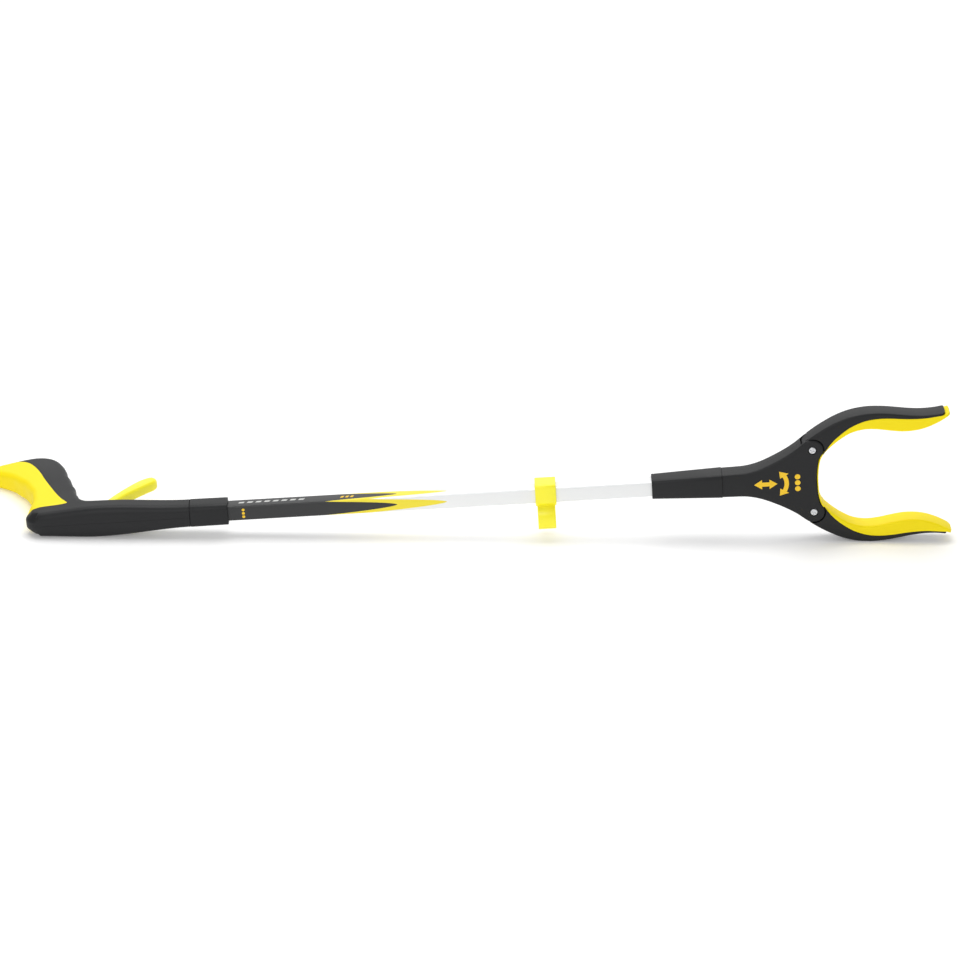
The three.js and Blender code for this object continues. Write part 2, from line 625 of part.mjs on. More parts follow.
// ---- Assembly ----
function assembly() {
  const shaft = new THREE.Group();
  shaft.add(...handleShells(), gripPad(), handleCollar(), ...handleScrews.map(handleScrew));
  shaft.add(collarScrew('collar_screw_rear', 158, 10.2), collarScrew('collar_screw_front', 556, 9.6));
  shaft.add(trigger(), triggerPin(), pullRod(), rodClevis(), clevisPin());
  shaft.add(coil('return_spring', 3.9, 0.5, 89.8, 105.8, 6), springCollar());
  shaft.add(shaftTube(), rodGuide('rod_guide_rear', 190), rodGuide('rod_guide_front', 522), shaftClip());
  shaft.add(headCollar(), swivelSpigot(), retainingRing());
  shaft.add(coil('swivel_spring', 5.9, 0.7, 582.2, HEAD_COLLAR_END - LIP - GAP, 4));
  shaft.add(...headShells(), mouthWeb(), carriage(), rodButton(), ...jaws());
  shaft.add(...jawFasteners('upper', 1), ...jawFasteners('lower', -1));
  shaft.rotation.y = -degrees(LIE);
  return shaft;
}

// The origin is under the middle of the object, on the surface that it lies on.
const group = new THREE.Group();
const lying = assembly();
group.add(lying);
group.updateMatrixWorld(true);
const bounds = new THREE.Box3().setFromObject(group, true);
const middle = bounds.getCenter(new THREE.Vector3());
lying.position.set(-middle.x, -middle.y, -bounds.min.z);

export default group;
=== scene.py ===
"""A reacher grabber: pistol handle with a soft grip, square aluminium shaft, tube clip and a turning two-jaw head."""
import json
import math

import bmesh
import bpy
from mathutils import Matrix, Vector


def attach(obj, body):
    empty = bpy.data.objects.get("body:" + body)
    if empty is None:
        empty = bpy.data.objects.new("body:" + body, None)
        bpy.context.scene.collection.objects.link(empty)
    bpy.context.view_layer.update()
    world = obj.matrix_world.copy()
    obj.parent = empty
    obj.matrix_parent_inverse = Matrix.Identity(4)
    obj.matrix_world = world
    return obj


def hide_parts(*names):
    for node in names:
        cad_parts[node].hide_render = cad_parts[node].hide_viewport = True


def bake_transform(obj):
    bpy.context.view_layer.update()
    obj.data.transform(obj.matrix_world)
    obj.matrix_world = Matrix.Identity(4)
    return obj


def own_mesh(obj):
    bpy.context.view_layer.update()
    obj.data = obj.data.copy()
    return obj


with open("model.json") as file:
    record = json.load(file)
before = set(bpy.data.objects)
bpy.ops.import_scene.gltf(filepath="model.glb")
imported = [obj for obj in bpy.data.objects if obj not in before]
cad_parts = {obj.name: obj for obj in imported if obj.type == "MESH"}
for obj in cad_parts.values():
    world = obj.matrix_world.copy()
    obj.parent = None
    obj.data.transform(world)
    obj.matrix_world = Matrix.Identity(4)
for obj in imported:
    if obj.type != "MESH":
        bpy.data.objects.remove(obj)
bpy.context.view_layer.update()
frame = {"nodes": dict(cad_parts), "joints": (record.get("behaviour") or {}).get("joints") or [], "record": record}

joints = {joint["name"]: joint for joint in frame["joints"]}

# The shaft's own frame: x runs along the shaft from the handle's rear end, y the way the grip points, and the
# origin is on the shaft's axis. Every piece is drawn there in millimetres and then laid where the frame holds it.
MM = 0.001
run = Vector(joints["rod_slide"]["axis"])
lie = Matrix.Rotation(-math.asin(run.z), 4, "Y")
PIVOT = Vector((62, -4.5, 0))
rear = Vector(joints["trigger_pivot"]["pos_m"]) - (lie @ PIVOT) * MM
shaft_frame = Matrix.Translation(rear) @ lie @ Matrix.Scale(MM, 4)


def in_row(x, y, z):
    """A point of the shaft's frame, in millimetres, as a point of the row frame, in metres."""
    return shaft_frame @ Vector((x, y, z))


# ---------------------------------------------------------------- camera, lights and table
# A long lens looks down on the side of the object, which lies on a wide white table. Three soft boxes light it,
# from behind, from above and from the front, so that the shadows stay pale.
camera_data = bpy.data.cameras.new("camera")
camera = bpy.data.objects.new("camera", camera_data)
bpy.context.scene.collection.objects.link(camera)
bpy.context.scene.camera = camera
ELEVATION = math.radians(25)
YAW = math.radians(-0.93)
ROLL = math.radians(0.68)
DISTANCE = 3.45
aim = in_row(401.4, 0, 5.4)
view = Vector((math.sin(YAW) * math.cos(ELEVATION), -math.cos(YAW) * math.cos(ELEVATION), math.sin(ELEVATION)))
camera.location = aim + view * DISTANCE
look = (-view).to_track_quat("-Z", "Y").to_matrix()
camera.rotation_euler = (look @ Matrix.Rotation(ROLL, 3, "Z")).to_euler()
camera_data.lens_unit = "FOV"
camera_data.angle = 2 * math.atan(0.4219 / DISTANCE)
camera_data.clip_end = 50

world = bpy.data.worlds.new("studio")
bpy.context.scene.world = world
world.use_nodes = True
world.node_tree.nodes["Background"].inputs["Color"].default_value = (1, 1, 1, 1)
world.node_tree.nodes["Background"].inputs["Strength"].default_value = 0.45
bpy.context.scene.view_settings.view_transform = "Standard"


def soft_box(name, place, size, power):
    """A rectangular area light that faces the origin."""
    data = bpy.data.lights.new(name, "AREA")
    data.shape = "RECTANGLE"
    data.size, data.size_y = size
    data.energy = power
    light = bpy.data.objects.new(name, data)
    bpy.context.scene.collection.objects.link(light)
    light.location = place
    light.rotation_euler = (-Vector(place)).to_track_quat("-Z", "Y").to_euler()


soft_box("back_box", (0.1, 1.7, 1.0), (3.2, 1.2), 11)
soft_box("top_box", (-0.1, 0.3, 1.7), (1.6, 1.0), 19)
soft_box("front_box", (-0.5, -1.9, 1.1), (1.2, 0.8), 10)


def linear(hex_colour):
    """An sRGB hex colour as linear RGBA."""
    values = [int(hex_colour[i:i + 2], 16) / 255 for i in (1, 3, 5)]
    return [v / 12.92 if v <= 0.04045 else ((v + 0.055) / 1.055) ** 2.4 for v in values] + [1]


def node(tree, kind, settings=None, links=None, **attributes):
    """A node with its attributes, its inputs' values, and its inputs' links from other nodes' outputs."""
    made = tree.nodes.new(kind)
    for name, value in attributes.items():
        setattr(made, name, value)
    for name, value in (settings or {}).items():
        made.inputs[name].default_value = value
    for name, output in (links or {}).items():
        tree.links.new(output, made.inputs[name])
    return made


def new_material(name):
    """An empty material with its shader, output and object coordinates in metres."""
    material = bpy.data.materials.new(name)
    material.use_nodes = True
    tree = material.node_tree
    shader = tree.nodes["Principled BSDF"]
    place = node(tree, "ShaderNodeTexCoord")
    return material, tree, shader, place.outputs["Object"]


def along_shaft(tree, place):
    """Coordinates in the shaft's own frame, in millimetres: x along the shaft, y and z across it."""
    mapping = node(tree, "ShaderNodeMapping", {
        "Location": tuple(rear), "Rotation": lie.to_euler()}, {"Vector": place}, vector_type="TEXTURE")
    return node(tree, "ShaderNodeVectorMath", {1: (1000, 1000, 1000)}, {0: mapping.outputs[0]},
                operation="MULTIPLY").outputs[0]


def only(*objects):
    """Out of edit mode, with just these objects selected and the first one active."""
    if bpy.context.object and bpy.context.object.mode != "OBJECT":
        bpy.ops.object.mode_set(mode="OBJECT")
    bpy.ops.object.select_all(action="DESELECT")
    for piece in objects:
        piece.select_set(True)
    bpy.context.view_layer.objects.active = objects[0]


def table_top():
    """A matt white table, wide enough that its edge is far away."""
    bpy.ops.object.select_all(action="DESELECT")
    bpy.ops.mesh.primitive_plane_add(size=60, location=(0, 0, 0))
    floor = bpy.context.object
    floor.name = "table"
    bpy.ops.object.mode_set(mode="EDIT")
    bpy.ops.mesh.subdivide(number_cuts=2)
    bpy.ops.object.mode_set(mode="OBJECT")
    material, tree, shader, place = new_material("white_studio_table")
    grain = node(tree, "ShaderNodeTexNoise", {"Scale": 4.0}, {"Vector": place})
    tint = node(tree, "ShaderNodeMapRange", {"To Min": 0.9, "To Max": 0.93}, {"Value": grain.outputs["Fac"]})
    tree.links.new(tint.outputs[0], shader.inputs["Base Color"])
    shader.inputs["Roughness"].default_value = 0.6
    # The backdrop burns out to white, so the table glows a little of its own.
    shader.inputs["Emission Color"].default_value = (1, 1, 1, 1)
    shader.inputs["Emission Strength"].default_value = 0.15
    floor.data.materials.append(material)


table_top()


# ---------------------------------------------------------------- handle casing
# Two black ABS halves moulded with a fine spark texture, meeting on the middle plane and held by four screws.
# The rear body tapers to the shaft and the pistol grip leans out of it.
def edit(piece):
    """Edit mode on a piece, with nothing selected."""
    only(piece)
    bpy.ops.object.mode_set(mode="EDIT")
    bpy.ops.mesh.select_all(action="DESELECT")


def pick(piece, test):
    """Selects the vertices that pass a test on their place, and nothing else."""
    bpy.ops.mesh.select_all(action="DESELECT")
    mesh = bmesh.from_edit_mesh(piece.data)
    for vertex in mesh.verts:
        vertex.select = test(vertex.co)
    mesh.select_flush_mode()
    bmesh.update_edit_mesh(piece.data)


def smooth_line(points, steps):
    """A line through the points, as evenly many steps between each pair, rounded like a bent batten."""
    line = []
    for i in range(len(points) - 1):
        near = [points[max(i - 1, 0)], points[i], points[i + 1], points[min(i + 2, len(points) - 1)]]
        p0, p1, p2, p3 = (Vector(p) for p in near)
        for k in range(steps):
            t = k / steps
            line.append(0.5 * (2 * p1 + (p2 - p0) * t + (2 * p0 - 5 * p1 + 4 * p2 - p3) * t * t
                               + (3 * p1 - p0 - 3 * p2 + p3) * t ** 3))
    return line + [Vector(points[-1])]


def select_only(piece, indices):
    """Selects the vertices with these indices, and nothing else."""
    bpy.ops.mesh.select_all(action="DESELECT")
    mesh = bmesh.from_edit_mesh(piece.data)
    mesh.verts.ensure_lookup_table()
    for index in indices:
        mesh.verts[index].select = True
    mesh.select_flush_mode()
    bmesh.update_edit_mesh(piece.data)


def beam(name, left, right, half):
    """A four-sided bar in the x-z plane through pairs of edge points, half a width each way along y.

    A square is extruded from pair to pair, and its two sides are moved at each one."""
    bpy.ops.object.select_all(action="DESELECT")
    bpy.ops.mesh.primitive_plane_add(size=2)
    piece = bpy.context.object
    piece.name = name
    edit(piece)
    bpy.ops.mesh.select_all(action="SELECT")
    bpy.ops.transform.resize(value=(1, half, 1), center_override=(0, 0, 0))
    spots = (Vector((-1, 0)), Vector((1, 0)))
    end = list(range(4))
    for i, goals in enumerate(zip(left, right)):
        if i:
            select_only(piece, end)
            bpy.ops.mesh.extrude_region_move()
            end = [v.index for v in bmesh.from_edit_mesh(piece.data).verts if v.select]
        mesh = bmesh.from_edit_mesh(piece.data)
        mesh.verts.ensure_lookup_table()
        flat = {k: Vector((mesh.verts[k].co.x, mesh.verts[k].co.z)) for k in end}
        ends = sorted(end, key=lambda k: (flat[k] - spots[0]).length - (flat[k] - spots[1]).length)
        for pair, spot, goal in zip((ends[:2], ends[2:]), spots, goals):
            select_only(piece, pair)
            bpy.ops.transform.translate(value=(goal[0] - spot[0], 0, goal[1] - spot[1]))
        spots = (Vector(goals[0]), Vector(goals[1]))
    bpy.ops.mesh.select_all(action="SELECT")
    bpy.ops.mesh.normals_make_consistent(inside=False)
    bpy.ops.object.mode_set(mode="OBJECT")
    return piece


def finish_modifier(piece, kind, **settings):
    """Adds a modifier with its settings and applies it."""
    only(piece)
    modifier = piece.modifiers.new(kind.lower(), kind)
    for name, value in settings.items():
        setattr(modifier, name, value)
    bpy.ops.object.modifier_apply(modifier=modifier.name)


def round_edges(piece, width, segments=4, angle=30):
    """Rounds every edge that is sharper than the angle."""
    finish_modifier(piece, "BEVEL", width=width, segments=segments, limit_method="ANGLE",
                    angle_limit=math.radians(angle), use_clamp_overlap=False)


def combine(piece, tool, operation):
    """Joins a tool to the piece, cuts it away or keeps what is common to both, and removes the tool."""
    only(piece)
    modifier = piece.modifiers.new("boolean", "BOOLEAN")
    modifier.object = tool
    modifier.operation = operation
    modifier.solver = "EXACT"
    bpy.ops.object.modifier_apply(modifier=modifier.name)
    bpy.data.objects.remove(tool)


def dress(piece, material, smooth=35):
    """Shades a piece smooth except at its hard edges, and gives it its one material."""
    only(piece)
    bpy.ops.object.shade_smooth_by_angle(angle=math.radians(smooth))
    piece.data.materials.clear()
    piece.data.materials.append(material)


def lay_down(piece):
    """Moves a finished mesh from the shaft's frame to the row frame."""
    only(piece)
    piece.matrix_world = shaft_frame
    bpy.ops.object.transform_apply(location=True, rotation=True, scale=True)


def tie(piece, body, node_name):
    """Ties a piece to its body and the frame node that it stands for, if any."""
    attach(piece, body)
    if node_name:
        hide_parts(node_name)


def lay(piece, material, body, node_name=None):
    """Lays a finished piece in the row frame, gives it its material and ties it to its body."""
    lay_down(piece)
    dress(piece, material)
    tie(piece, body, node_name)


def copied(piece, name):
    """A copy of a piece, with its own mesh."""
    twin = piece.copy()
    twin.data = piece.data.copy()
    twin.name = name
    bpy.context.scene.collection.objects.link(twin)
    return twin


def block(name, low, high):
    """A square block between two corners."""
    bpy.ops.object.select_all(action="DESELECT")
    centre = [(a + b) / 2 for a, b in zip(low, high)]
    bpy.ops.mesh.primitive_cube_add(size=1, location=centre)
    piece = bpy.context.object
    piece.name = name
    piece.scale = [b - a for a, b in zip(low, high)]
    bpy.ops.object.transform_apply()
    return piece


def eased(value):
    """A smooth rise from 0 to 1 as the value goes from 0 to 1."""
    t = min(max(value, 0), 1)
    return t * t * (3 - 2 * t)


HANDLE_END = 142
STATIONS = [(-40, 8), (0, 10.4), (65, 14.4), (HANDLE_END, 10.4)]


def handle_half(x):
    """Half the handle's thickness at x: thin at the tail and the shaft, thickest over the trigger's pin."""
    for i in range(3):
        (x0, h0), (x1, h1) = STATIONS[i], STATIONS[i + 1]
        if x <= x1:
            t = max(0, (x - x0) / (x1 - x0))
            return h0 + (h1 - h0) * (t if i == 0 else eased(t))
    return STATIONS[-1][1]


REST_START, REST_PITCH, REST_DEPTH = 24, 19, 1


def finger_rests(points):
    """Three shallow hollows along the front of the grip."""
    def hollow(y):
        return REST_DEPTH / 2 * (1 - math.cos(2 * math.pi * (y - REST_START) / REST_PITCH))
    end = REST_START + 3 * REST_PITCH
    return [Vector((p.x - hollow(p.y), p.y)) if REST_START < p.y < end else p for p in points]


def handle_outline():
    """The casing's side view: the body's underside, the nose, round the grip, and the body's top side."""
    under = [Vector(p) for p in ((HANDLE_END + 9, -10), (100, -10.8), (65, -11), (30, -11))]
    grip = smooth_line([(13, -10.9), (6.6, -9.2), (1.8, -5), (0, 0.5), (1, 7), (2.6, 14), (4.2, 28), (1, 46),
                        (-7, 63), (-17, 77), (-28, 86), (-36, 91), (-39.8, 98), (-36.5, 104.5), (-23, 110), (-5, 114.4),
                        (8, 113.6), (18.5, 106.4), (25.5, 94), (29.8, 81), (34.6, 64), (40.6, 43), (44.6, 26),
                        (48, 17), (54, 11.6), (64, 10.1)], 3)
    over = [Vector(p) for p in ((82, 10.3), (100, 10.3), (HANDLE_END + 9, 10))]
    return under + finger_rests(grip) + over


def plate(name, outline, low, high):
    """A flat plate: a ring of points moved to an outline in the x-y plane, and extruded along z."""
    bpy.ops.object.select_all(action="DESELECT")
    bpy.ops.mesh.primitive_circle_add(vertices=len(outline), radius=1, fill_type="NGON")
    piece = bpy.context.object
    piece.name = name
    start = [vertex.co.copy() for vertex in piece.data.vertices]
    edit(piece)
    for i, (x, y) in enumerate(outline):
        select_only(piece, [i])
        bpy.ops.transform.translate(value=(x - start[i].x, y - start[i].y, low))
    bpy.ops.mesh.select_all(action="SELECT")
    bpy.ops.mesh.extrude_region_move(TRANSFORM_OT_translate={"value": (0, 0, high - low)})
    bpy.ops.mesh.select_all(action="SELECT")
    bpy.ops.mesh.normals_make_consistent(inside=False)
    bpy.ops.object.mode_set(mode="OBJECT")
    return piece


def thicken(piece, half, half_at, step):
    """Cuts a plate across every step along x, and makes it as thick at each x as half_at says."""
    edit(piece)
    xs = [vertex.co.x for vertex in bmesh.from_edit_mesh(piece.data).verts]
    for k in range(int(min(xs) / step), int(max(xs) / step) + 1):
        bpy.ops.mesh.select_all(action="SELECT")
        bpy.ops.mesh.bisect(plane_co=(k * step + 0.31, 0, 0), plane_no=(1, 0, 0))
    places = {round(vertex.co.x, 2) for vertex in bmesh.from_edit_mesh(piece.data).verts}
    for x in sorted(places):
        pick(piece, lambda co: round(co.x, 2) == x)
        bpy.ops.transform.resize(value=(1, 1, half_at(x) / half), center_override=(0, 0, 0))
    bpy.ops.object.mode_set(mode="OBJECT")


PAD_EDGE = [(-4, 3.4), (6, 5.4), (17, 6.6), (29, 6.7), (35.6, 8), (34.4, 11.6), (29.6, 19.6), (23.6, 33), (17.7, 48),
            (11.6, 64), (6, 80), (0, 93), (-6, 102), (-14, 107), (-25, 108.5)]


def pad_cutter(name, grow):
    """What lies behind the pad's edge, grown a little for the bed that the pad lies in."""
    edge = [Vector((x + (grow if y > 7 else 0), y + (-grow if y < 7 else grow * 0.4))) for x, y in PAD_EDGE]
    line = smooth_line(edge, 4) + [Vector((-60, 108.5)), Vector((-60, 3.4))]
    return plate(name, line, -30, 30)


def textured_abs():
    """Black ABS from a spark-eroded mould: a fine grain, drawn 0.6 mm coarse so that it shows, dulls the gloss."""
    material, tree, shader, place = new_material("black_abs_spark_textured")
    grain = node(tree, "ShaderNodeTexNoise", {"Scale": 1 / 0.0006, "Detail": 2.0}, {"Vector": place})
    cloud = node(tree, "ShaderNodeTexNoise", {"Scale": 1 / 0.04, "Detail": 3.0}, {"Vector": place})
    shade = node(tree, "ShaderNodeMix", {6: linear("#111214"), 7: linear("#17181a")},
                 {0: cloud.outputs["Fac"]}, data_type="RGBA")
    dull = node(tree, "ShaderNodeMapRange", {"To Min": 0.42, "To Max": 0.56}, {"Value": cloud.outputs["Fac"]})
    bump = node(tree, "ShaderNodeBump", {"Strength": 0.22, "Distance": 0.00006}, {"Height": grain.outputs["Fac"]})
    tree.links.new(shade.outputs[2], shader.inputs["Base Color"])
    tree.links.new(dull.outputs[0], shader.inputs["Roughness"])
    tree.links.new(bump.outputs[0], shader.inputs["Normal"])
    shader.inputs["IOR"].default_value = 1.53
    shader.inputs["Specular IOR Level"].default_value = 0.32
    return material


black_abs = textured_abs()


def trim(piece, x, side):
    """Cuts a piece off square at x, on its high side or its low side, and closes it."""
    edit(piece)
    bpy.ops.mesh.select_all(action="SELECT")
    bpy.ops.mesh.bisect(plane_co=(x, 0, 0), plane_no=(side, 0, 0), use_fill=True, clear_outer=True)
    bpy.ops.object.mode_set(mode="OBJECT")


NOSE_RADIUS, NOSE_TOP, NOSE_DRAW = 11, 15, 0.42


def nose_draw(x, y):
    """What share of its height a point near the nose keeps, so that the nose is a dome."""
    reach = math.hypot(NOSE_RADIUS - x, min(y + 0.3, 0)) / NOSE_RADIUS
    return 1 - NOSE_DRAW * eased((reach - 0.15) / 0.8) * eased((NOSE_TOP - y) / 10)


def dome_nose(piece):
    """Cuts the casing across near its rear end and draws the nose in towards the middle plane."""
    edit(piece)
    for y in range(-6, 18, 3):
        bpy.ops.mesh.select_all(action="SELECT")
        bpy.ops.mesh.bisect(plane_co=(0, y + 0.17, 0), plane_no=(0, 1, 0))
    near = [(v.index, nose_draw(v.co.x, v.co.y)) for v in bmesh.from_edit_mesh(piece.data).verts
            if v.co.x < NOSE_RADIUS and v.co.y < NOSE_TOP]
    for index, draw in near:
        select_only(piece, [index])
        bpy.ops.transform.resize(value=(1, 1, draw), center_override=(0, 0, 0))
    bpy.ops.object.mode_set(mode="OBJECT")


def handle_casing():
    flat_half = 10
    form = plate("handle_form", handle_outline(), -flat_half, flat_half)
    round_edges(form, 5.6, 6, 55)
    thicken(form, flat_half, handle_half, 6)
    trim(form, HANDLE_END, 1)
    dome_nose(form)
    return form


casing = handle_casing()
pad_form = copied(casing, "grip_pad_soft")
combine(casing, pad_cutter("bed_cutter", 0.08), "DIFFERENCE")
combine(casing, block("rod_room", (45, -8.3, -8), (150, 7.9, 8)), "DIFFERENCE")
combine(casing, block("trigger_mouth", (49, 6, -6.3), (83, 14, 6.3)), "DIFFERENCE")


SEAM_GAP = 0.06


def half_of(form, name, side):
    """One half of the casing, cut beside the middle plane for a hairline seam, and closed."""
    piece = copied(form, name)
    edit(piece)
    bpy.ops.mesh.select_all(action="SELECT")
    bpy.ops.mesh.bisect(plane_co=(0, 0, side * SEAM_GAP), plane_no=(0, 0, side), use_fill=True, clear_inner=True)
    bpy.ops.object.mode_set(mode="OBJECT")
    return piece


WELL_RADIUS, WELL_TOOL, WELL_DEPTH = 3.1, 12, 2.2
for x, y in ((20, -1), (22, 88), (36, 30), (29, 60)):
    bpy.ops.object.select_all(action="DESELECT")
    below = WELL_DEPTH - handle_half(x) - WELL_TOOL / 2
    bpy.ops.mesh.primitive_cylinder_add(vertices=40, radius=WELL_RADIUS, depth=WELL_TOOL, location=(x, y, below))
    combine(casing, bpy.context.object, "DIFFERENCE")

for side, name in ((1, "left"), (-1, "right")):
    piece = half_of(casing, f"handle_casing_{name}", side)
    lay(piece, black_abs, "handle", f"handle_shell_{name}")
bpy.data.objects.remove(casing)


# ---------------------------------------------------------------- grip pad
# A palm pad of soft yellow rubber, moulded over the back of the grip so that it lies flush with the casing, and
# run out to the end of the tail, where it wraps right round.
def soft_rubber():
    """Thermoplastic rubber: matt, a little translucent, with a faint bloom."""
    material, tree, shader, place = new_material("yellow_tpr_soft_moulded")
    cloud = node(tree, "ShaderNodeTexNoise", {"Scale": 1 / 0.03, "Detail": 3.0}, {"Vector": place})
    grain = node(tree, "ShaderNodeTexNoise", {"Scale": 1 / 0.0008, "Detail": 2.0}, {"Vector": place})
    shade = node(tree, "ShaderNodeMix", {6: linear("#ffe402"), 7: linear("#ffec08")},
                 {0: cloud.outputs["Fac"]}, data_type="RGBA")
    bump = node(tree, "ShaderNodeBump", {"Strength": 0.15, "Distance": 0.00006}, {"Height": grain.outputs["Fac"]})
    tree.links.new(shade.outputs[2], shader.inputs["Base Color"])
    tree.links.new(bump.outputs[0], shader.inputs["Normal"])
    shader.inputs["Roughness"].default_value = 0.5
    shader.inputs["Specular IOR Level"].default_value = 0.25
    return material


yellow_rubber = soft_rubber()
combine(pad_form, pad_cutter("pad_cutter", 0), "INTERSECT")
lay(pad_form, yellow_rubber, "handle", "grip_pad")


# ---------------------------------------------------------------- handle collar
# A black ABS sleeve with soft corners and a rounded mouth. It is pushed over the tube against the front of the
# casing, with a hairline gap, and screwed through the tube from below.
TUBE_START, TUBE_END, TUBE_HALF = 112, 575, 7
BORE_HALF = TUBE_HALF + 0.25


def sleeve(name, start, end, half_start, half_end, corner, bore_end):
    """A square sleeve with rounded corners and mouths, bored square as far as the tube goes."""
    piece = block(name, (start, -1, -1), (end, 1, 1))
    for place, half in ((start, half_start), (end, half_end)):
        edit(piece)
        pick(piece, lambda co: abs(co.x - place) < 0.01)
        bpy.ops.transform.resize(value=(1, half, half), center_override=(place, 0, 0))
    long_edges(piece, corner, 6)
    round_edges(piece, 0.5, 3, 50)
    bore_tool = block("bore", (start - 1, -BORE_HALF, -BORE_HALF), (bore_end, BORE_HALF, BORE_HALF))
    long_edges(bore_tool, 1.9, 4)
    combine(piece, bore_tool, "DIFFERENCE")
    return piece


def long_edges(piece, width, segments):
    """Rounds the four edges that run along the shaft."""
    edit(piece)
    bpy.ops.mesh.select_mode(type="EDGE")
    mesh = bmesh.from_edit_mesh(piece.data)
    for edge in mesh.edges:
        span = edge.verts[0].co - edge.verts[1].co
        edge.select = abs(span.x) > 0.9 * span.length
    bmesh.update_edit_mesh(piece.data)
    bpy.ops.mesh.bevel(offset=width, segments=segments, offset_type="OFFSET")
    bpy.ops.mesh.select_mode(type="VERT")
    bpy.ops.object.mode_set(mode="OBJECT")


def bored(piece, radius, low, high):
    """Bores a round hole along the shaft's axis."""
    bpy.ops.object.select_all(action="DESELECT")
    bpy.ops.mesh.primitive_cylinder_add(
        vertices=48, radius=radius, depth=high - low, location=((low + high) / 2, 0, 0),
        rotation=(0, math.pi / 2, 0))
    combine(piece, bpy.context.object, "DIFFERENCE")


collar = sleeve("handle_sleeve", HANDLE_END + 0.3, 175, 10.3, 10.15, 5, 176)
lay(collar, black_abs, "handle", "handle_collar")

# ---------------------------------------------------------------- head collar
# The black ABS sleeve on the far end of the tube, which flares out to the size of the head's neck. It is bored
# round past the tube's end for the swivel's ring and spring.
RING_ROOM, SPIGOT_ROOM = 7.4, 4.95
collar = sleeve("head_sleeve", 540.5, 601, 9.05, 10.9, 3.6, TUBE_END + 0.3)
bored(collar, RING_ROOM, TUBE_END, 597)
bored(collar, SPIGOT_ROOM, TUBE_END, 602)
lay(collar, black_abs, "handle", "head_collar")


# ---------------------------------------------------------------- shaft tube
# A 14 mm square tube of drawn aluminium, satin anodised. Its rear end is printed black, and the black ends in
# one tongue on each face with a yellow border.
def calc(tree, operation, *terms):
    """One arithmetic node, from numbers and other nodes' outputs."""
    numbers = {i: term for i, term in enumerate(terms) if isinstance(term, (int, float))}
    outputs = {i: term for i, term in enumerate(terms) if not isinstance(term, (int, float))}
    return node(tree, "ShaderNodeMath", numbers, outputs, operation=operation).outputs[0]


def printed_aluminium():
    """Satin anodised aluminium, drawn along the shaft, with the black and yellow tongues printed on it."""
    material, tree, shader, place = new_material("satin_anodised_aluminium_printed")
    own = along_shaft(tree, place)
    parts = node(tree, "ShaderNodeSeparateXYZ", None, {0: own})
    side = calc(tree, "ABSOLUTE", parts.outputs[1])
    rise = calc(tree, "ABSOLUTE", parts.outputs[2])
    # On a face, the coordinate across it is the smaller of the two: 0 in the middle, 7 at the corners.
    across = calc(tree, "DIVIDE", calc(tree, "MINIMUM", side, rise), float(TUBE_HALF))
    bulge = calc(tree, "POWER", across, 1.7)
    reach = calc(tree, "ADD", parts.outputs[0], calc(tree, "MULTIPLY", bulge, 72.0))
    black = calc(tree, "LESS_THAN", reach, 321.0)
    yellow_reach = calc(tree, "ADD", parts.outputs[0], calc(tree, "MULTIPLY", bulge, 78.0))
    yellow = calc(tree, "LESS_THAN", yellow_reach, 364.0)
    draw = node(tree, "ShaderNodeMapping", {"Scale": (0.02, 6, 6)}, {"Vector": own})
    lines = node(tree, "ShaderNodeTexNoise", {"Scale": 1.0, "Detail": 4.0}, {"Vector": draw.outputs[0]})
    metal = node(tree, "ShaderNodeMix", {6: linear("#e7e8e8"), 7: linear("#eff0f0")},
                 {0: lines.outputs["Fac"]}, data_type="RGBA")
    with_yellow = node(tree, "ShaderNodeMix", {7: linear("#f6e334")}, {0: yellow, 6: metal.outputs[2]},
                       data_type="RGBA")
    printed = node(tree, "ShaderNodeMix", {7: linear("#232425")}, {0: black, 6: with_yellow.outputs[2]},
                   data_type="RGBA")
    bare = calc(tree, "SUBTRACT", 1.0, yellow)
    tree.links.new(printed.outputs[2], shader.inputs["Base Color"])
    tree.links.new(calc(tree, "MULTIPLY", bare, 0.4), shader.inputs["Metallic"])
    rough = calc(tree, "MULTIPLY_ADD", lines.outputs["Fac"], 0.1, 0.33)
    tree.links.new(rough, shader.inputs["Roughness"])
    bump = node(tree, "ShaderNodeBump", {"Strength": 0.06, "Distance": 0.00002}, {"Height": lines.outputs["Fac"]})
    tree.links.new(bump.outputs[0], shader.inputs["Normal"])
    return material


def tube():
    bore_half = TUBE_HALF - 1
    piece = block("tube", (TUBE_START, -TUBE_HALF, -TUBE_HALF), (TUBE_END, TUBE_HALF, TUBE_HALF))
    long_edges(piece, 2, 6)
    bore = block("tube_bore", (TUBE_START - 1, -bore_half, -bore_half), (TUBE_END + 1, bore_half, bore_half))
    long_edges(bore, 1, 3)
    combine(piece, bore, "DIFFERENCE")
    round_edges(piece, 0.15, 1, 60)
    return piece


aluminium = printed_aluminium()
lay(tube(), aluminium, "handle", "shaft_tube")


